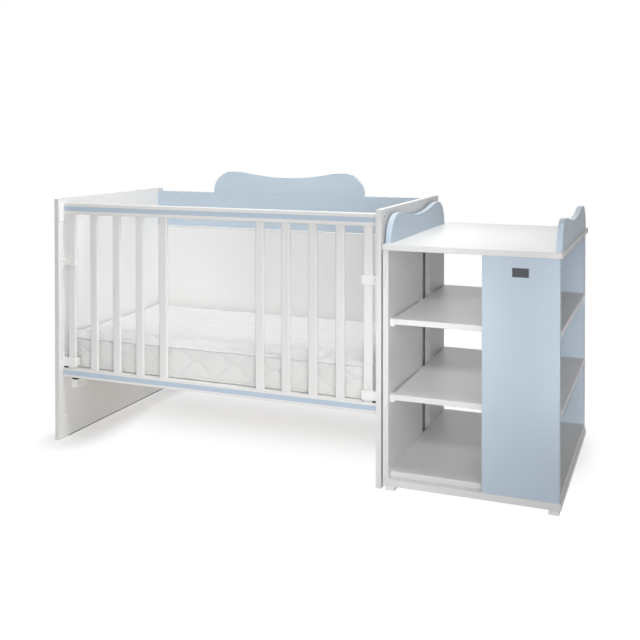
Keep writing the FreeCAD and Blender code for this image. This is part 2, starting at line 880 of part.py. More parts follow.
# The top board's upper face is divided beside the guards, so the mat's area is a face of its own
mat_left = guard_lefts[0] + board + mat_gap
mat_right = guard_lefts[1] - mat_gap
whole_top = coated(top_left, top_right, top_front, top_rear, top_board_bottom, cabinet_height)
top_strips = []
for strip_left, strip_right in ((top_left, mat_left), (mat_left, mat_right), (mat_right, top_right)):
    strip = block(strip_left, strip_right, top_front, top_rear, top_board_bottom, cabinet_height)
    top_strips.append(whole_top.common(strip))
divided_top = top_strips[0].fuse(top_strips[1:])
pieces["changing_top"] = divided_top.cut(upright_holes + guard_holes)
for name, left in zip(("left", "right"), guard_lefts):
    guard = stand(wavy_board(guard_length), Vector(left, guard_middle_y, cabinet_height), Y_AXIS)
    pieces["guard_" + name] = guard.cut(guard_holes)

# Bare plate on the front cover
badge_left = (cover_left + cover_right - badge_width) / 2
badge_top = top_board_bottom - badge_below
pieces["badge_plate"] = block(
    badge_left,
    badge_left + badge_width,
    cabinet_front - badge_thickness,
    cabinet_front,
    badge_top - badge_height,
    badge_top,
)

# Joining hardware
pieces["joining_spacers"] = Part.makeCompound([spacer.cut(join_holes) for spacer in spacers])
pieces["joining_bolts"] = Part.makeCompound([join_bolt(place) for place in join_places])

os.makedirs("parts", exist_ok=True)
for name, shape in pieces.items():
    shape.translate(-origin)
    shape.exportStep("parts/%s.step" % name)
    print(name, len(shape.Solids), shape.isValid(), round(shape.Volume))
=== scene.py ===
import math

import bpy
import numpy as np
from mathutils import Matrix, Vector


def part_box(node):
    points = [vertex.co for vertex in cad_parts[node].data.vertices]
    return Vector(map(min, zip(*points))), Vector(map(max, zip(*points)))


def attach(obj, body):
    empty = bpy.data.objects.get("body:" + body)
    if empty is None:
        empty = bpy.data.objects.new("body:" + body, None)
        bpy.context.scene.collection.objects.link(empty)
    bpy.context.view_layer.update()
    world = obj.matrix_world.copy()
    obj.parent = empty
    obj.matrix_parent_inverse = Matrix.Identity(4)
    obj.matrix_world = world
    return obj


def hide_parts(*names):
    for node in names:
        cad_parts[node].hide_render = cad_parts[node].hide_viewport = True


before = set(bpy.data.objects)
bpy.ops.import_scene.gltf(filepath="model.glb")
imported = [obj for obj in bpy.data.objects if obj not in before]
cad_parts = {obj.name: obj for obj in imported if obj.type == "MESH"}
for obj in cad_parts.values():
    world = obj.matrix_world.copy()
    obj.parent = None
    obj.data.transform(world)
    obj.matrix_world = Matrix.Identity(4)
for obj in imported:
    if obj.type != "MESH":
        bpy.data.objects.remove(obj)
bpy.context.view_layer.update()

# Colours, as they look under plain light (linear red, green, blue)
BOARD_WHITE = (0.80, 0.80, 0.795)
BOARD_BLUE = (0.545, 0.635, 0.725)
INLAY_BLUE = (0.50, 0.595, 0.70)
LACQUER_WHITE = (0.80, 0.80, 0.79)
PLASTIC_WHITE = (0.87, 0.865, 0.855)
BUTTON_WHITE = (0.78, 0.78, 0.775)
# colour of the contact shadow painted along an end panel's foot
PAINTED_SHADOW_GREY = (0.09, 0.09, 0.09)
RUBBER_BLACK = (0.025, 0.025, 0.026)
TIMBER_PALE = (0.70, 0.54, 0.36)
TIMBER_DARK = (0.52, 0.36, 0.20)
STEEL_ZINC = (0.60, 0.61, 0.62)
STEEL_DARK = (0.10, 0.10, 0.105)
COVER_WHITE = (0.82, 0.82, 0.81)
THREAD_GREY = (0.62, 0.62, 0.61)
BADGE_GREY = (0.045, 0.048, 0.055)
BADGE_RIM_GREY = (0.20, 0.205, 0.215)
WHITE_LIGHT = (1.0, 1.0, 1.0, 1.0)

# Boards and fittings, in metres; where a value has two parts, what it names begins and is full there
BOARD_SHEEN = 0.08        # how much the boards' film mirrors, as a share
SATIN_SHEEN = 0.5         # and lacquer, strips and plastic
PEARL_SIZE = 0.0022       # grain of the film
PEARL_HEIGHT = 0.00002
CLOUD_HEIGHT = 0.00006    # slow unevenness of the film
BAND = (0.0006, 0.0012)   # edge band, from the wide faces
RUBBED_EDGE = (0.0026, 0.0004)  # wear of a board, from its edge
THIN_EDGE = (0.0032, 0.0008)    # thin lacquer, from a rail's or slat's edge
WEAR_SPREAD = 0.003       # how far the line of either wavers
PAINTED_FOOT_SHADOW = (0.0045, 0.0030)   # painted contact shadow along an end panel's foot, from the floor
PAINTED_FOOT_SHADOW_BACK = (0.05, 0.06)  # and from the panel's front edge
BADGE_RIM = (0.0012, 0.0008)    # bright rim of the badge plate, from its edge
RING_RATE = 900           # turns of the timber's rings, in radians for a metre
RING_LEAN = 0.6           # how much the rings also turn across the piece
RING_BEND = 0.05          # how far they wander

# Mattress, in metres and shares of its height
CORNER = 0.028            # plan radius of its corners
FOOT_SHARE = 0.05         # height of the lower piping
RIM_SHARE = 0.856         # height of the upper piping
TUCK = 0.002              # how far the bottom panel is drawn in
TUCK_CURVE = 1.6          # power by which it comes out again
DRAW = 0.006              # how far the border is drawn in before it is filled
CROWN_REACH = 0.19        # width of the sloping part of the crown
END_LIFT = 0.009          # how far its left end rides up the end panel
END_REACH = 0.06          # length of the part that is lifted
SHOULDER = 0.012          # part of the crown that belongs to the border's grid
FOOT_ROW, RIM_ROW, BORDER_ROWS = 3, 13, 16  # rows of the border's grid
COLUMNS, ROWS = 128, 70   # coarse grid along the mattress and across it
QUILT_WAVE = 0.150        # length of one wave of the quilting
QUILT_SWING = 0.022       # height of a wave over its middle line
NARROW_DEPTH, NARROW_REACH = 0.0017, 0.005  # the sharp part of the groove that it is sewn in
WIDE_DEPTH, WIDE_REACH = 0.0026, 0.017      # and the slow part
PUCKER_DEPTH, PUCKER_REACH = 0.0004, 0.014  # small puckers beside it
PUCKER_LENGTH = 0.021
PUCKER_SWAY, PUCKER_SWAY_RATE = 3, 40  # how far they lean to and fro and how fast, in radians
BORDER_FADE = (0.003, 0.016)  # distance to a piping over which the quilting sets in
TOP_FADE_END = 0.034      # and from the outline, on the top
BORDER_QUILT_SHARE = 0.42  # how deep the border's quilting is, beside a full one
TOP_QUILT_SHARE = 0.55    # and the top's
UPPER_PIPING_SHADE = 0.5    # how dark the painted shade under the upper piping's cord is
LOWER_PIPING_SHADE = 0.1    # and under the lower one
PIPING_RADIUS = 0.0035
PIPING_INSET = 0.0018     # how far the cord lies in from the outline
PIPING_SIDES = 10
PIPING_WAVERS = ((0.0006, 23), (0.0004, 61))  # height and count of the waves along it
FILL_FRAMES = 20          # frames in which the cover is filled
TOP_CAP, BORDER_CAP = 0.007, 0.0045  # how far filling may move a point
KNIT_RIB, KNIT_STITCH = 0.0021, 0.0017  # lengths of the knit's two waves
THREAD_PITCH = 0.0045     # length of a stitch of the quilting
THREAD = (0.0011, 0.0005)  # where its thread begins and is full, from the middle of the groove
SUNK = (0.006, 0.0005)    # and the groove, which is sunk and darkened with painted shade
PIPING_SHADE_BAND = (1.50, 1.62)       # and the painted shade on the underside of a piping's cord, in half turns round the cord


# Shader maths
class Value:
    """What comes out of a node. Sums, products and powers of it add Math nodes."""

    def __init__(self, finish, socket):
        self.finish = finish
        self.socket = socket

    def math(self, operation, *terms):
        return self.finish.node("Math", {"operation": operation}, dict(enumerate(terms)))

    def __add__(self, other):
        return self.math("ADD", self, other)

    def __sub__(self, other):
        return self.math("SUBTRACT", self, other)

    def __rsub__(self, other):
        return self.math("SUBTRACT", other, self)

    def __mul__(self, other):
        return self.math("MULTIPLY", self, other)

    def __truediv__(self, other):
        return self.math("DIVIDE", self, other)

    def __pow__(self, other):
        return self.math("POWER", self, other)

    def __abs__(self):
        return self.math("ABSOLUTE", self)

    __radd__ = __add__
    __rmul__ = __mul__

    def least(self, other):
        return self.math("MINIMUM", self, other)

    def most(self, other):
        return self.math("MAXIMUM", self, other)

    def sine(self):
        return self.math("SINE", self)

    def cosine(self):
        return self.math("COSINE", self)

    def wrapped(self, length):
        return self.math("FLOORED_MODULO", self, length)


class Finish:
    """A node tree that is being filled, of a material unless another is given."""

    def __init__(self, name, tree=None):
        if tree is None:
            self.material = bpy.data.materials.new(name)
            self.material.use_nodes = True
            tree = self.material.node_tree
        tree.nodes.clear()
        self.tree = tree

    def node(self, kind, settings=None, sockets=None, output=0):
        """Adds a node of a type, with its settings, then the values or links of its sockets."""
        made = self.tree.nodes.new("ShaderNode" + kind)
        for key, setting in (settings or {}).items():
            setattr(made, key, setting)
        for key, given in (sockets or {}).items():
            socket = self.pick(made.inputs, key)
            if isinstance(given, Value):
                self.tree.links.new(given.socket, socket)
            else:
                socket.default_value = given
        return Value(self, self.pick(made.outputs, output)) if made.outputs else None

    @staticmethod
    def pick(sockets, key):
        shown = [socket for socket in sockets if socket.enabled]
        if isinstance(key, int):
            return shown[key]
        return next(socket for socket in shown if socket.name == key)

    def place(self):
        return self.node("TexCoord", output="Object")

    def split(self, vector):
        parts = self.node("SeparateXYZ", None, {0: vector})
        outputs = parts.socket.node.outputs
        return [Value(self, outputs[axis]) for axis in range(3)]

    def noise(self, place, size, stretch=(1, 1, 1), detail=2.0):
        """Soft noise from 0 to 1, with features of a size in metres, drawn out along an axis by its
        stretch."""
        scale = [1 / (size * part) for part in stretch]
        moved = self.node("Mapping", None, {"Vector": place, "Scale": scale})
        return self.node("TexNoise", None, {"Vector": moved, "Scale": 1.0, "Detail": detail})

    def step(self, value, start, end):
        """0 before start and 1 after end, with a smooth rise between them."""
        sockets = {"Value": value, "From Min": start, "From Max": end}
        return self.node("MapRange", {"interpolation_type": "SMOOTHSTEP"}, sockets)

    def mix(self, factor, first, second):
        """Colour between two colours."""
        def colour(given):
            return given if isinstance(given, Value) else (*given, 1.0)

        sockets = {0: factor, "A": colour(first), "B": colour(second)}
        return self.node("Mix", {"data_type": "RGBA"}, sockets)

    def seen(self):
        """1 for rays that see the studio itself: from the camera, mirrored, or passed through."""
        paths = self.node("LightPath").socket.node.outputs
        rays = [Value(self, paths["Is %s Ray" % kind]) for kind in ("Camera", "Glossy", "Transmission")]
        return rays[0].most(rays[1]).most(rays[2])

    def rim(self, radius):
        """1 on a sharp edge and 0 away from it, from how far a rounded normal turns off the true one."""
        turned = self.node("Bevel", {"samples": 6}, {"Radius": radius})
        true = self.node("NewGeometry", output="Normal")
        alike = self.node("VectorMath", {"operation": "DOT_PRODUCT"}, {0: turned, 1: true}, "Value")
        return self.step(1 - alike, 0.02, 0.2)

    def surface(self, colour, roughness, height, **constants):
        """Closes the tree with a shader. The height is in metres."""
        bump = self.node("Bump", None, {"Strength": 1.0, "Distance": 1.0, "Height": height})
        sockets = {"Base Color": colour, "Roughness": roughness, "Normal": bump}
        for name, constant in constants.items():
            sockets[name.replace("_", " ")] = constant
        shader = self.node("BsdfPrincipled", None, sockets)
        self.node("OutputMaterial", None, {"Surface": shader})
        return self.material


def shade(colour, factor):
    return tuple(part * factor for part in colour)


def face_gaps(finish, place, node):
    """Distances of a point to the three pairs of faces of a node's box."""
    low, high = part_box(node)
    gaps = []
    for axis, part in enumerate(finish.split(place)):
        middle, half = (low[axis] + high[axis]) / 2, (high[axis] - low[axis]) / 2
        gaps.append(half - abs(part - middle))
    return gaps


def edge_gap(gaps):
    """Distance to the nearest edge of a box: the middle one of the three distances to its faces."""
    first, second, third = gaps
    return first.least(second).most(first.most(second).least(third))


def thin_axis(node):
    low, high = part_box(node)
    return min(range(3), key=lambda axis: high[axis] - low[axis])


def long_axis(node):
    low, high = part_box(node)
    return max(range(3), key=lambda axis: high[axis] - low[axis])


def along(axis, stretch):
    return tuple(stretch if index == axis else 1 for index in range(3))


# Finishes
def coated_board(node, colour):
    """Chipboard with a satin film: pearled faces, streaked edge bands, and rubbed edges. Along the foot of
    an end panel, behind its front edge, a dark contact shadow is painted."""
    coat = Finish("coated_board." + node)
    place = coat.place()
    gaps = face_gaps(coat, place, node)
    cloud = coat.noise(place, 0.11, detail=3.0)
    drift = coat.noise(place, 0.55)
    pearl = coat.noise(place, PEARL_SIZE, detail=1.0)
    streak = coat.noise(place, 0.0016, along(long_axis(node), 60))
    band = coat.step(gaps[thin_axis(node)], *BAND)
    rubbed = coat.step(edge_gap(gaps) + (cloud - 0.5) * WEAR_SPREAD, *RUBBED_EDGE)
    tone = coat.mix(drift, shade(colour, 0.975), shade(colour, 1.02))
    tone = coat.mix(band * (0.25 + 0.35 * streak), tone, shade(colour, 0.95))
    tone = coat.mix(rubbed * 0.35, tone, shade(colour, 0.86))
    if node.startswith("end_panel"):
        _, y, z = coat.split(place)
        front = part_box(node)[0][1]
        # painted contact shadow: the lowest few millimetres of an end panel, behind its front edge, are
        # darkened
        painted_shadow = coat.step(z, *PAINTED_FOOT_SHADOW) * coat.step(y - front, *PAINTED_FOOT_SHADOW_BACK)
        tone = coat.mix(painted_shadow, tone, PAINTED_SHADOW_GREY)
    roughness = 0.34 + 0.10 * cloud + 0.05 * band + 0.14 * rubbed
    height = (pearl * (1 - band) + streak * band) * PEARL_HEIGHT + cloud * CLOUD_HEIGHT
    return coat.surface(tone, roughness, height, Specular_IOR_Level=BOARD_SHEEN)


def wavy_board(node, colour):
    """The same film round a shaped board, with a rubbed rim and edge bands painted lighter, as if lit from
    the front.
    """
    coat = Finish("wavy_board." + node)
    place = coat.place()
    gaps = face_gaps(coat, place, node)
    cloud = coat.noise(place, 0.09, detail=3.0)
    drift = coat.noise(place, 0.4)
    pearl = coat.noise(place, PEARL_SIZE, detail=1.0)
    band = coat.step(gaps[thin_axis(node)], *BAND)
    rubbed = coat.rim(0.0016) * (0.4 + 0.6 * cloud)
    tone = coat.mix(drift, shade(colour, 0.975), shade(colour, 1.02))
    # painted light: the edge bands are lightened as if lit from the front
    tone = coat.mix(band * 0.5, tone, shade(colour, 1.05))
    tone = coat.mix(rubbed * 0.4, tone, shade(colour, 0.88))
    roughness = 0.34 + 0.10 * cloud + 0.06 * band + 0.12 * rubbed
    height = pearl * PEARL_HEIGHT + cloud * CLOUD_HEIGHT
    return coat.surface(tone, roughness, height, Specular_IOR_Level=BOARD_SHEEN)


def lacquered_timber(node, colour):
    """Brushed satin lacquer over timber, whose grain still shows along the piece."""
    coat = Finish("lacquer." + node)
    place = coat.place()
    axis = long_axis(node)
    grain = coat.noise(place, 0.004, along(axis, 40), detail=3.0)
    brush = coat.noise(place, 0.0012, along(axis, 90), detail=1.0)
    cloud = coat.noise(place, 0.07, along(axis, 3))
    edge = edge_gap(face_gaps(coat, place, node))
    thin = coat.step(edge + (cloud - 0.5) * WEAR_SPREAD, *THIN_EDGE)
    tone = coat.mix(cloud, shade(colour, 0.97), shade(colour, 1.02))
    tone = coat.mix(coat.step(grain, 0.56, 0.74) * 0.25, tone, shade(colour, 0.93))
    tone = coat.mix(thin * 0.3, tone, shade(colour, 0.88))
    roughness = 0.30 + 0.12 * cloud + 0.10 * brush + 0.10 * thin
    height = grain * 0.00009 + brush * 0.00003
    return coat.surface(tone, roughness, height, Specular_IOR_Level=SATIN_SHEEN)


def film_strip(node, colour):
    """Blue strip set in a rail, with faint draw lines along it."""
    coat = Finish("film_strip." + node)
    place = coat.place()
    lines = coat.noise(place, 0.0011, along(long_axis(node), 150), detail=1.0)
    cloud = coat.noise(place, 0.06, along(long_axis(node), 4))
    tone = coat.mix(cloud, shade(colour, 0.97), shade(colour, 1.03))
    tone = coat.mix(coat.rim(0.0008) * 0.4, tone, shade(colour, 0.8))
    height = lines * 0.00003 + cloud * 0.00004
    return coat.surface(tone, 0.30 + 0.12 * lines + 0.08 * cloud, height, Specular_IOR_Level=SATIN_SHEEN)


def moulded_plastic(name, colour, dullness):
    """Sparked mould texture, smoother and a little paler on the edges."""
    coat = Finish("moulded_plastic." + name)
    place = coat.place()
    spark = coat.noise(place, 0.0009)
    cloud = coat.noise(place, 0.02)
    rim = coat.rim(0.0009)
    tone = coat.mix(cloud, shade(colour, 0.96), shade(colour, 1.02))
    tone = coat.mix(rim * 0.4, tone, shade(colour, 1.04))
    roughness = dullness + 0.12 * cloud + 0.08 * spark - 0.1 * rim
    return coat.surface(tone, roughness, spark * 0.00004 + cloud * 0.00005, Specular_IOR_Level=SATIN_SHEEN)


def black_rubber():
    """Matt rubber with a dusty bloom."""
    coat = Finish("black_rubber")
    place = coat.place()
    pores = coat.noise(place, 0.0008)
    bloom = coat.noise(place, 0.008, detail=3.0)
    tone = coat.mix(coat.step(bloom, 0.45, 0.75) * 0.5, RUBBER_BLACK, shade(RUBBER_BLACK, 2.4))
    return coat.surface(tone, 0.68 + 0.2 * pores, pores * 0.00008, Specular_IOR_Level=0.35)


def bare_timber(name, axis):
    """Planed softwood: slow rings cut along the piece, and fine pores."""
    coat = Finish("bare_timber." + name)
    place = coat.place()
    bend = coat.noise(place, 0.10, along(axis, 8))
    parts = coat.split(place)
    across = [parts[index] for index in range(3) if index != axis]
    turn = (across[0] + across[1] * RING_LEAN + bend * RING_BEND) * RING_RATE
    rings = turn.sine() * 0.5 + 0.5
    pores = coat.noise(place, 0.0015, along(axis, 30))
    late = coat.step(rings, 0.35, 0.95) * (0.55 + 0.45 * pores)
    tone = coat.mix(late * 0.55, TIMBER_PALE, TIMBER_DARK)
    tone = coat.mix(coat.step(pores, 0.60, 0.74) * 0.3, tone, shade(TIMBER_DARK, 0.7))
    return coat.surface(tone, 0.55 + 0.15 * pores, rings * 0.00004 + pores * 0.00006)


def plated_steel(name, colour):
    """Plating: fine spangle, rubbed brighter on the edges."""
    coat = Finish("plated_steel." + name)
    place = coat.place()
    spangle = coat.noise(place, 0.0016)
    dull = coat.noise(place, 0.006)
    tone = coat.mix(dull, shade(colour, 0.8), shade(colour, 1.1))
    tone = coat.mix(coat.rim(0.0004) * 0.6, tone, shade(colour, 1.3))
    return coat.surface(tone, 0.24 + 0.16 * spangle + 0.08 * dull, spangle * 0.00002, Metallic=1.0)


def bare_badge(node):
    """Dark satin plate with fine brushing and a bright rim, with nothing printed on it."""
    coat = Finish("bare_badge")
    place = coat.place()
    brush = coat.noise(place, 0.0005, along(long_axis(node), 80), detail=1.0)
    cloud = coat.noise(place, 0.012)
    edge = edge_gap(face_gaps(coat, place, node))
    border = coat.step(edge, *BADGE_RIM)
    tone = coat.mix(brush, shade(BADGE_GREY, 0.85), shade(BADGE_GREY, 1.3))
    tone = coat.mix(border * 0.7, tone, BADGE_RIM_GREY)
    roughness = 0.30 + 0.15 * brush + 0.08 * cloud
    return coat.surface(tone, roughness, brush * 0.00002, Specular_IOR_Level=0.55)


def quilted_cover(name, shade_share=None):
    """White knitted cover on the piece's own map in metres: ribs and stitches of the knit, a faint
    mottle, and rows of thread where the quilting is sewn. A piping instead has painted shade along the
    underside of its cord, as dark as a share."""
    coat = Finish("cover." + name)
    chart = coat.node("UVMap", {"uv_map": "cover"})
    place = coat.place()
    across, up, _ = coat.split(chart)
    mottle = coat.noise(place, 0.012, detail=3.0)
    cloud = coat.noise(place, 0.20)
    fuzz = coat.noise(place, 0.0012)
    knit = (across * (2 * math.pi / KNIT_RIB)).sine() * (up * (2 * math.pi / KNIT_STITCH)).sine()
    tone = coat.mix(cloud, shade(COVER_WHITE, 0.97), shade(COVER_WHITE, 1.02))
    spots = coat.step(mottle, 0.60, 0.72)
    tone = coat.mix(spots * 0.35, tone, shade(COVER_WHITE, 0.86))
    height = knit * 0.00010 + fuzz * 0.00012 - spots * 0.00015
    if shade_share is None:
        wave = (across * (2 * math.pi / QUILT_WAVE)).cosine() * QUILT_SWING
        period = 4 * QUILT_SWING
        rise = abs((up - wave + period / 2).wrapped(period) - period / 2)
        fall = abs((up + wave).wrapped(period) - period / 2)
        slope = (across * (2 * math.pi / QUILT_WAVE)).sine() * (2 * math.pi * QUILT_SWING / QUILT_WAVE)
        gap = rise.least(fall) / (1 + slope * slope) ** 0.5
        dashes = coat.step((across * (2 * math.pi / THREAD_PITCH)).sine(), -0.5, 0.1)
        thread = coat.step(gap, *THREAD) * dashes
        sunk = coat.step(gap, *SUNK)
        # painted shade darkens the sunk groove of the quilting
        tone = coat.mix(sunk * 0.15, tone, shade(COVER_WHITE, 0.88))
        tone = coat.mix(thread * 0.4, tone, THREAD_GREY)
        height = height + thread * 0.0004 - sunk * 0.0005
    else:
        # painted shade along the underside of a piping's cord, where it meets the border
        painted_shade = coat.step(up / (math.pi * PIPING_RADIUS), *PIPING_SHADE_BAND)
        tone = coat.mix(painted_shade * shade_share, tone, shade(COVER_WHITE, 0.35))
    return coat.surface(tone, 0.82 + 0.14 * fuzz, height, Specular_IOR_Level=0.25, Sheen_Weight=0.25)


# Nodes of each finish
WHITE_BOARDS = (
    "end_panel_left", "end_panel_right", "back_panel", "cabinet_base", "side_panel_front",
    "side_panel_rear", "shelf_lower", "shelf_middle", "shelf_upper", "changing_top",
)
BLUE_BOARDS = ("back_rail", "front_cover", "rear_cover")
WAVY_BOARDS = ("back_crest", "guard_left", "guard_right")
LACQUERED = ("drop_top_rail", "drop_bottom_rail", *("slat_%d" % number for number in range(1, 11)))
INLAYS = ("top_rail_inlay", "bottom_rail_inlay")
PLASTIC = (
    "upper_guide_left", "upper_guide_right", "lower_guide_left", "lower_guide_right",
    "rail_plate_left", "rail_plate_right", "catch_plate_left", "catch_plate_right",
    "base_supports", "shelf_brackets", "cabinet_feet",
)
BUTTONS = ("release_button_left", "release_button_right")
RUBBER = ("guide_bumper_left", "guide_bumper_right", "joining_spacers", "support_pads")
TIMBER_ALONG_X = ("base_bearer_front", "base_bearer_rear", "crib_dowels")
TIMBER_ALONG_Y = ("base_slats", "cabinet_dowels")
ZINC = ("hardware_screws", "bracket_screws", "joining_bolts")
DARK_STEEL = ("plate_bolts",)


def dress(names, finish):
    """Gives CAD nodes a finish, in place of the plain one that they come with."""
    for name in names:
        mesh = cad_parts[name].data
        mesh.materials.clear()
        mesh.materials.append(finish)


def dress_frame():
    """Gives every CAD node but the mattress its finish."""
    for name in WHITE_BOARDS:
        dress([name], coated_board(name, BOARD_WHITE))
    for name in BLUE_BOARDS:
        dress([name], coated_board(name, BOARD_BLUE))
    for name in WAVY_BOARDS:
        dress([name], wavy_board(name, BOARD_BLUE))
    for name in LACQUERED:
        dress([name], lacquered_timber(name, LACQUER_WHITE))
    for name in INLAYS:
        dress([name], film_strip(name, INLAY_BLUE))
    dress(PLASTIC, moulded_plastic("fittings", PLASTIC_WHITE, 0.38))
    dress(BUTTONS, moulded_plastic("buttons", BUTTON_WHITE, 0.24))
    dress(RUBBER, black_rubber())
    dress(TIMBER_ALONG_X, bare_timber("lengthwise", 0))
    dress(TIMBER_ALONG_Y, bare_timber("crosswise", 1))
    dress(ZINC, plated_steel("zinc", STEEL_ZINC))
    dress(DARK_STEEL, plated_steel("dark", STEEL_DARK))
    dress(["badge_plate"], bare_badge("badge_plate"))


# Mattress
mattress_low, mattress_high = (np.array(corner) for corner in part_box("mattress"))
mattress_middle = (mattress_low + mattress_high) / 2
mattress_half = (mattress_high - mattress_low) / 2
mattress_height = mattress_high[2] - mattress_low[2]
rim_height = mattress_height * RIM_SHARE
foot_height = mattress_height * FOOT_SHARE
crown_height = mattress_height - rim_height


def side_line(half_length, half_width, count):
    """One side of the plan outline, from the middle of a corner to the middle of the next, in equal
    steps along a straight run between two eighths of a circle. Gives points and outward normals."""
    straight = half_length - CORNER
    reach = straight + CORNER * math.pi / 4
    run = np.linspace(-reach, reach, count + 1)
    turn = np.clip(np.abs(run) - straight, 0, None) / CORNER * np.sign(run)
    x = np.clip(run, -straight, straight) + CORNER * np.sin(turn)
    y = -half_width + CORNER * (1 - np.cos(turn))
    return np.stack([x, y], -1), np.stack([np.sin(turn), -np.cos(turn)], -1)


def outline(columns, rows):
    """Closed plan outline, anticlockwise from the front left corner: four sides, each turned a quarter
    more. Gives points, outward normals and the length run so far, with the start repeated at the end."""
    points, normals = [], []
    turn = np.eye(2)
    quarter = np.array([[0.0, -1.0], [1.0, 0.0]])
    for side in range(4):
        lengthwise = side % 2 == 0
        half = mattress_half[:2] if lengthwise else mattress_half[1::-1]
        point, normal = side_line(half[0], half[1], columns if lengthwise else rows)
        points.append((point @ turn.T)[:-1])
        normals.append((normal @ turn.T)[:-1])
        turn = quarter @ turn
    points, normals = np.concatenate(points), np.concatenate(normals)
    closed = np.vstack([points, points[:1]])
    steps = np.linalg.norm(np.diff(closed, axis=0), axis=1)
    return points, normals, np.concatenate([[0.0], np.cumsum(steps)])


def fade(distance, start, end):
    """0 before start and 1 after end, with a smooth rise between them."""
    share = np.clip((distance - start) / (end - start), 0, 1)
    return share * share * (3 - 2 * share)


def crown(inset):
    """Height of the top over the rim: a quarter sine of the cube root of the distance to the outline."""
    share = np.cbrt(np.clip(inset / CROWN_REACH, 0, 1))
    return crown_height * np.sin(share * math.pi / 2)


def border_profile(rows):
    """How far in and how high the border runs: out from the tucked bottom to the lower piping, drawn in
    by a half sine up to the upper piping, then over the shoulder of the crown."""
    row = np.linspace(0, BORDER_ROWS, rows + 1)
    up = np.clip((row - FOOT_ROW) / (RIM_ROW - FOOT_ROW), 0, 1)
    over = np.clip((row - RIM_ROW) / (BORDER_ROWS - RIM_ROW), 0, 1)
    under = np.clip(row / FOOT_ROW, 0, 1)
    shoulder = SHOULDER * over**2
    inset = TUCK * (1 - under) ** TUCK_CURVE + DRAW * np.sqrt(np.sin(math.pi * up).clip(0)) + shoulder
    height = foot_height * under + (rim_height - foot_height) * up + crown(shoulder)
    return inset, height


def inset_of(plan):
    """Distance of plan points inside the rounded outline."""
    over = np.abs(plan) - (mattress_half[:2] - CORNER)
    outside = np.linalg.norm(np.clip(over, 0, None), axis=-1)
    return CORNER - outside - np.minimum(over.max(-1), 0)


def filled_patch(loop, columns, rows):
    """Grid inside a closed plan loop: each point blends the four sides of the loop, less the blend of
    its corners."""
    ring = np.vstack([loop, loop[:1]])
    front = ring[: columns + 1, None]
    right = ring[columns : columns + rows + 1][None]
    back = ring[columns + rows : 2 * columns + rows + 1][::-1, None]
    left = ring[2 * columns + rows :][::-1][None]
    u = np.linspace(0, 1, columns + 1)[:, None, None]
    v = np.linspace(0, 1, rows + 1)[None, :, None]
    sides = (1 - v) * front + v * back + (1 - u) * left + u * right
    low = (1 - u) * front[:1] + u * front[-1:]
    high = (1 - u) * back[:1] + u * back[-1:]
    return sides - (1 - v) * low - v * high


def cover_shape(scale):
    """The cover as a border grid round the outline, and a top and a bottom grid, scale times as fine as
    the coarse one."""
    columns, rows = COLUMNS * scale, ROWS * scale
    points, normals, run = outline(columns, rows)
    inset, height = border_profile(BORDER_ROWS * scale)
    plan = points[:, None] - normals[:, None] * inset[None, :, None]
    border = np.concatenate([plan, np.broadcast_to(height[None, :, None], (*plan.shape[:2], 1))], -1)
    top = filled_patch(plan[:, -1], columns, rows)
    top = np.concatenate([top, rim_height + crown(inset_of(top))[..., None]], -1)
    bottom = filled_patch(plan[:, 0], columns, rows)
    bottom = np.concatenate([bottom, np.zeros((*bottom.shape[:2], 1))], -1)
    return {"border": border, "top": top, "bottom": bottom, "normals": normals, "run": run}


def end_lift(spots):
    """How much higher points of the cover stand at the left end: a smooth rise towards that end, as great
    as their height."""
    share = 1 - fade(spots[..., 0] + mattress_half[0], 0.0, END_REACH)
    return END_LIFT * share * spots[..., 2] / rim_height


def quads(grid):
    """The four corners of each cell of a grid, anticlockwise."""
    return np.stack([grid[:-1, :-1], grid[1:, :-1], grid[1:, 1:], grid[:-1, 1:]], 2)


def cover_mesh(name, shape):
    """One closed mesh of the three grids, which share the points of their rims. Its map holds, in metres,
    the run and height on the border and the plan on the top and bottom."""
    border, top, bottom = shape["border"], shape["top"], shape["bottom"]
    count, rows = border.shape[:2]
    columns, across = top.shape[0] - 1, top.shape[1] - 1
    ids = np.arange(count * rows).reshape(count, rows)
    inner = (columns - 1) * (across - 1)

    def patch_ids(loop, start):
        grid = np.empty((columns + 1, across + 1), int)
        ring = np.append(loop, loop[0])
        grid[1:-1, 1:-1] = start + np.arange(inner).reshape(columns - 1, across - 1)
        grid[:, 0] = ring[: columns + 1]
        grid[-1, :] = ring[columns : columns + across + 1]
        grid[::-1, -1] = ring[columns + across : 2 * columns + across + 1]
        grid[0, ::-1] = ring[2 * columns + across :]
        return grid

    top_ids = patch_ids(ids[:, -1], ids.size)
    bottom_ids = patch_ids(ids[:, 0], ids.size + inner)
    border_ids = np.vstack([ids, ids[:1]])
    cells = [quads(border_ids), quads(top_ids), quads(bottom_ids)[..., ::-1]]
    faces = np.concatenate([cell.reshape(-1, 4) for cell in cells])
    spots = [border.reshape(-1, 3), top[1:-1, 1:-1].reshape(-1, 3), bottom[1:-1, 1:-1].reshape(-1, 3)]
    spots = np.concatenate(spots) + np.array([*mattress_middle[:2], mattress_low[2]])

    height = border_profile(rows - 1)[1] - rim_height + QUILT_SWING
    chart = np.stack(np.broadcast_arrays(shape["run"][:, None], height[None]), -1)
    charts = [quads(chart), quads(top[..., :2]), quads(bottom[..., :2])[:, :, ::-1]]
    chart = np.concatenate([part.reshape(-1, 2) for part in charts])

    mesh = bpy.data.meshes.new(name)
    mesh.from_pydata(spots.tolist(), [], faces.tolist())
    layer = mesh.uv_layers.new(name="cover")
    layer.uv.foreach_set("vector", chart.ravel().astype(np.float32))
    mesh.shade_smooth()
    return mesh


def put(name, mesh):
    piece = bpy.data.objects.new(name, mesh)
    bpy.context.scene.collection.objects.link(piece)
    return piece


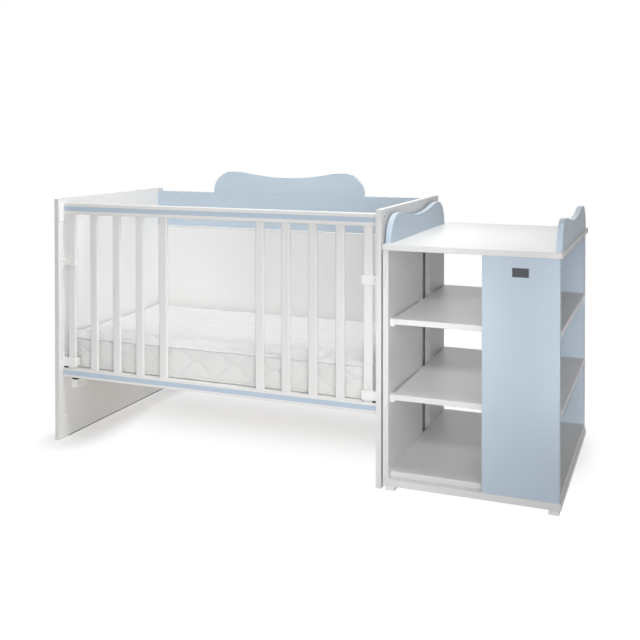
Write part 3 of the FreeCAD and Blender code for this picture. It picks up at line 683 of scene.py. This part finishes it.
def filled_by_pressure(shape):
    """How far each point of the coarse cover moves when it is filled: cloth under pressure, held at both
    pipings and under its bottom, with each point's path capped."""
    pad = put("cover_trial", cover_mesh("cover_trial", shape))
    count, rows = shape["border"].shape[:2]
    row = np.arange(count * rows) % rows
    held = np.flatnonzero((row <= FOOT_ROW) | (row == RIM_ROW)).tolist()
    inner = (shape["top"].shape[0] - 2) * (shape["top"].shape[1] - 2)
    held += range(count * rows + inner, count * rows + 2 * inner)
    pad.vertex_groups.new(name="held").add(held, 1.0, "REPLACE")
    cloth = pad.modifiers.new("filling", "CLOTH")
    settings = cloth.settings
    settings.quality = 4
    settings.mass = 0.35
    settings.tension_stiffness = settings.compression_stiffness = 12
    settings.shear_stiffness = 6
    settings.bending_stiffness = 0.8
    settings.use_pressure = True
    settings.uniform_pressure_force = 4.0
    settings.vertex_group_mass = "held"
    settings.effector_weights.gravity = 0
    cloth.point_cache.frame_start, cloth.point_cache.frame_end = 1, FILL_FRAMES
    for number in range(1, FILL_FRAMES + 1):
        bpy.context.scene.frame_set(number)
    shown = pad.evaluated_get(bpy.context.evaluated_depsgraph_get())
    swollen = np.empty(len(shown.data.vertices) * 3, np.float32)
    shown.data.vertices.foreach_get("co", swollen)
    start = np.empty_like(swollen)
    pad.data.vertices.foreach_get("co", start)
    move = (swollen - start).reshape(-1, 3).astype(float)
    bpy.data.objects.remove(pad)
    bpy.context.scene.frame_set(1)
    length = np.linalg.norm(move, axis=1, keepdims=True)
    cap = np.full((len(move), 1), TOP_CAP)
    cap[: count * rows] = BORDER_CAP
    return move * np.minimum(1, cap / np.maximum(length, 1e-9))


def doubled(field, axis, closed=False):
    """A field on a grid twice as fine along an axis: each new line is the mean of its neighbours."""
    lines = np.moveaxis(field, axis, 0)
    following = np.roll(lines, -1, axis=0)
    pairs = np.stack([lines, (lines + following) / 2], 1).reshape(-1, *lines.shape[1:])
    return np.moveaxis(pairs if closed else pairs[:-1], 0, axis)


def quilting(across, up):
    """Depth of the quilting in metres: it is sewn down on waves that swing apart and touch in turn, sunk
    by a narrow and a wide bell of the distance to the nearest wave, with small puckers beside it."""
    wave = QUILT_SWING * np.cos(2 * math.pi * across / QUILT_WAVE)
    slope = 2 * math.pi * QUILT_SWING / QUILT_WAVE * np.sin(2 * math.pi * across / QUILT_WAVE)
    period = 4 * QUILT_SWING
    rise = np.abs((up - wave + period / 2) % period - period / 2)
    fall = np.abs((up + wave) % period - period / 2)
    gap = np.minimum(rise, fall) / np.sqrt(1 + slope**2)

    def bell(reach):
        return np.exp(-((gap / reach) ** 2))

    sway = PUCKER_SWAY * np.sin(PUCKER_SWAY_RATE * up)
    pucker = np.sin(2 * math.pi * across / PUCKER_LENGTH + sway) * bell(PUCKER_REACH)
    return NARROW_DEPTH * bell(NARROW_REACH) + WIDE_DEPTH * bell(WIDE_REACH) + PUCKER_DEPTH * pucker


def quilted(shape):
    """Presses the quilting into the border, inwards, and into the top, downwards. It fades out beside the
    pipings."""
    border, top = shape["border"], shape["top"]
    rows = border.shape[1]
    height = border_profile(rows - 1)[1]
    up = height - rim_height + QUILT_SWING
    depth = BORDER_QUILT_SHARE * quilting(shape["run"][:-1, None], up[None])
    depth = depth * fade(height - foot_height, *BORDER_FADE) * fade(rim_height - height, *BORDER_FADE)
    border[..., :2] -= shape["normals"][:, None] * depth[..., None]
    inset = inset_of(top[..., :2])
    depth = TOP_QUILT_SHARE * quilting(top[..., 0], top[..., 1])
    top[..., 2] -= depth * fade(inset, SHOULDER, TOP_FADE_END)


def make_mattress():
    coarse = cover_shape(1)
    fine = cover_shape(2)
    move = filled_by_pressure(coarse)
    count, rows = coarse["border"].shape[:2]
    columns, across = coarse["top"].shape[:2]
    border_move = move[: count * rows].reshape(count, rows, 3)
    fine["border"] = fine["border"] + doubled(doubled(border_move, 0, closed=True), 1)
    loop = np.vstack([border_move[:, -1], border_move[:1, -1]])
    top_move = np.zeros((columns, across, 3))
    inner = (columns - 2, across - 2)
    top_move[1:-1, 1:-1] = move[count * rows :][: math.prod(inner)].reshape(*inner, 3)
    top_move[:, 0] = loop[:columns]
    top_move[-1, :] = loop[columns - 1 : columns + across - 1]
    top_move[::-1, -1] = loop[columns + across - 2 : 2 * columns + across - 2]
    top_move[0, ::-1] = loop[2 * columns + across - 3 :]
    fine["top"] = fine["top"] + doubled(doubled(top_move, 0), 1)
    quilted(fine)
    for part in ("border", "top"):
        fine[part][..., 2] += end_lift(fine[part])
    mattress = put("mattress_quilted", cover_mesh("mattress_quilted", fine))
    mattress.data.materials.append(quilted_cover("quilt"))
    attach(mattress, "mattress_body")
    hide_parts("mattress")


def make_piping(name, height, shade_share):
    """Round cord in a tape: a circle carried along the outline at a height, a little in from it and
    wavering by a sum of sines."""
    points, normals, run = outline(COLUMNS * 2, ROWS * 2)
    angle = np.linspace(0, 2 * math.pi, PIPING_SIDES + 1)
    round_trip = run[:-1] * 2 * math.pi / run[-1]
    waver = sum(swing * np.sin(round_trip * count) for swing, count in PIPING_WAVERS)
    out = PIPING_RADIUS * np.cos(angle)[None] - PIPING_INSET
    rise = PIPING_RADIUS * np.sin(angle)[None] + waver[:, None] + height
    plan = points[:, None] + normals[:, None] * out[..., None]
    tube = np.concatenate([plan, rise[..., None]], -1)[:, :-1]
    tube[..., 2] += end_lift(tube)
    spots = tube.reshape(-1, 3) + np.array([*mattress_middle[:2], mattress_low[2]])
    ids = np.arange(len(spots)).reshape(tube.shape[:2])
    ids = np.vstack([ids, ids[:1]])
    ids = np.hstack([ids, ids[:, :1]])
    chart = np.stack(np.broadcast_arrays(run[:, None], angle[None] * PIPING_RADIUS), -1)
    mesh = bpy.data.meshes.new(name)
    mesh.from_pydata(spots.tolist(), [], quads(ids).reshape(-1, 4).tolist())
    layer = mesh.uv_layers.new(name="cover")
    layer.uv.foreach_set("vector", quads(chart).ravel().astype(np.float32))
    mesh.shade_smooth()
    piping = put(name, mesh)
    piping.data.materials.append(quilted_cover(name, shade_share))
    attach(piping, "mattress_body")


# Studio, in metres, watts and degrees
AMBIENT = 0.20            # strength of the white surroundings as a light; they show at 1
FLOOR_RADII = (1.0, 2.0, 4.0, 8.0, 16.0, 30.0)
FLOOR_SIDES = 48
FLOOR_DROP = 0.0004       # how far the floor lies under the feet
FLOOR_GREY = (0.94, 0.94, 0.94, 1.0)
FLOOR_GLOW = 1.03         # strength of the plain white in the floor
FLOOR_LIFT = 0.62         # share of plain white in the floor, at the middle of the shadow
FLOOR_LIFT_FAR = 0.97     # and away from it
FLOOR_FADE = 0.42         # how far the shadow reaches
SHADOW_HALF = 0.85        # half the length of the shadow's middle line
SHADOW_MIDDLE = 0.17      # how far behind the middle of the object that line lies
SHADOW_SQUEEZE = 3        # how many times shorter the shadow reaches past that line's ends
FOOT_LIFT = 0.42          # share of plain white at the left panel's foot
FOOT_SHADOW_X = -0.85     # line of the shadow there
FOOT_SHADOW_HALF = 0.36   # half the length of that line
FOOT_FADE = 0.16          # how far that shadow reaches
LENS, SENSOR = 51.38, 36.0  # in millimetres
VIEW_SHIFT = -0.2733      # in picture widths
CAMERA_SPOT = (1.2285, -3.122, 1.131)
CAMERA_TILT, CAMERA_TURN = 89.17, 21.63

# Name, place, aim, width and height, power and spread of each lamp
LAMPS = (
    ("camera_softbox", (1.5, -3.1, 1.7), (0.1, 0.0, 0.45), (1.6, 1.2), 13, 180),
    ("low_softbox", (1.6, -3.0, 0.95), (0.0, 0.0, 0.3), (1.8, 0.6), 21, 180),
    ("reach_softbox", (0.6, -0.5, 2.5), (-1.0, -0.1, 0.5), (0.7, 0.7), 7.8, 90),
    ("mattress_softbox", (-0.3, 0.0, 2.4), (-0.3, -0.05, 0.4), (1.0, 0.4), 0.75, 60),
    ("back_rail_softbox", (-0.6, -1.5, 2.1), (-0.4, 0.3, 0.75), (0.8, 0.6), 1.3, 90),
    ("cabinet_top_softbox", (0.55, -0.35, 2.3), (0.62, 0.0, 0.78), (0.5, 0.5), 1.25, 70),
    ("shelf_softbox", (0.62, -1.9, 1.45), (0.52, 0.1, 0.22), (0.25, 0.25), 0.34, 26),
    ("cover_upper_softbox", (1.5, -2.9, 1.12), (0.95, 0.36, 0.58), (0.1, 0.1), 0.15, 13),
    ("cover_lower_softbox", (1.5, -2.9, 1.12), (0.95, 0.36, 0.2), (0.1, 0.1), 0.17, 13),
    ("floor_softbox", (0.9, -2.2, 0.35), (-0.9, 0.1, 0.15), (0.6, 0.3), 1.65, 60),
    ("left_panel_softbox", (0.2, 1.3, 0.14), (-0.91, 0.15, 0.12), (0.3, 0.1), 0.085, 22),
    ("back_softbox", (0.0, 3.0, 1.8), (0.0, 0.0, 0.4), (2.0, 1.0), 15, 180),
)


def make_floor():
    """Large flat disc: rings of points round the middle of the object."""
    angle = np.linspace(0, 2 * math.pi, FLOOR_SIDES + 1)[:-1]
    ring = np.stack([np.cos(angle), np.sin(angle)], -1)
    plan = np.array(FLOOR_RADII)[:, None, None] * ring[None]
    spots = np.vstack([[[0.0, 0.0]], plan.reshape(-1, 2)])
    spots = np.hstack([spots, np.full((len(spots), 1), -FLOOR_DROP)])
    ids = 1 + np.arange(plan.shape[0] * FLOOR_SIDES).reshape(-1, FLOOR_SIDES)
    ids = np.hstack([ids, ids[:, :1]])
    middle = np.stack([np.zeros(FLOOR_SIDES, int), ids[0, :-1], ids[0, 1:]], -1).tolist()
    mesh = bpy.data.meshes.new("floor")
    mesh.from_pydata(spots.tolist(), [], middle + quads(ids).reshape(-1, 4)[:, ::-1].tolist())
    floor = put("floor", mesh)
    floor.data.materials.append(studio_floor())


def studio_floor():
    """Matt floor under plain white, which thins out along the shadow's middle line and at the left
    panel's foot, so that the shadow shows there."""
    coat = Finish("studio_floor")
    x, y, _ = coat.split(coat.place())
    beside, ahead = (abs(x) - SHADOW_HALF).most(0.0) * SHADOW_SQUEEZE, y - SHADOW_MIDDLE
    away = (beside * beside + ahead * ahead) ** 0.5
    beside_foot, past_foot = x - FOOT_SHADOW_X, (abs(y) - FOOT_SHADOW_HALF).most(0.0)
    from_foot = (beside_foot * beside_foot + past_foot * past_foot) ** 0.5
    shadow = (FLOOR_LIFT_FAR - FLOOR_LIFT) * coat.step(away, FLOOR_FADE, 0.0)
    foot_shadow = (FLOOR_LIFT_FAR - FOOT_LIFT) * coat.step(from_foot, FOOT_FADE, 0.0)
    lift = coat.seen() * (FLOOR_LIFT_FAR - shadow.most(foot_shadow))
    matt = coat.node("BsdfDiffuse", None, {"Color": FLOOR_GREY})
    white = coat.node("Emission", None, {"Color": WHITE_LIGHT, "Strength": FLOOR_GLOW})
    shader = coat.node("MixShader", None, {0: lift, 1: matt, 2: white})
    coat.node("OutputMaterial", None, {"Surface": shader})
    return coat.material


def make_world():
    """White surroundings, which light the object less than they show."""
    world = bpy.data.worlds.new("studio")
    bpy.context.scene.world = world
    world.use_nodes = True
    sky = Finish("studio", world.node_tree)
    strength = AMBIENT + (1 - AMBIENT) * sky.seen()
    light = sky.node("Background", None, {"Color": WHITE_LIGHT, "Strength": strength})
    sky.node("OutputWorld", None, {"Surface": light})


def make_lamp(name, spot, target, size, power, spread):
    """Area lamp that the camera doesn't see."""
    lamp = bpy.data.lights.new(name, "AREA")
    lamp.shape = "RECTANGLE"
    lamp.size, lamp.size_y = size
    lamp.energy = power
    lamp.spread = math.radians(spread)
    holder = bpy.data.objects.new(name, lamp)
    holder.visible_camera = False
    bpy.context.scene.collection.objects.link(holder)
    holder.location = spot
    back = holder.location - type(holder.location)(target)
    holder.rotation_euler = back.to_track_quat("Z", "Y").to_euler()


def make_camera():
    """Camera of the photograph: level but for a degree, with its view shifted down."""
    lens = bpy.data.cameras.new("camera")
    lens.sensor_width = SENSOR
    lens.lens = LENS
    lens.shift_y = VIEW_SHIFT
    camera = bpy.data.objects.new("camera", lens)
    bpy.context.scene.collection.objects.link(camera)
    camera.location = CAMERA_SPOT
    camera.rotation_euler = (math.radians(CAMERA_TILT), 0.0, math.radians(CAMERA_TURN))
    bpy.context.scene.camera = camera


dress_frame()
make_mattress()
make_piping("mattress_piping_upper", rim_height, UPPER_PIPING_SHADE)
make_piping("mattress_piping_lower", foot_height, LOWER_PIPING_SHADE)
make_floor()
make_world()
for lamp in LAMPS:
    make_lamp(*lamp)
make_camera()
bpy.context.scene.view_settings.view_transform = "Standard"
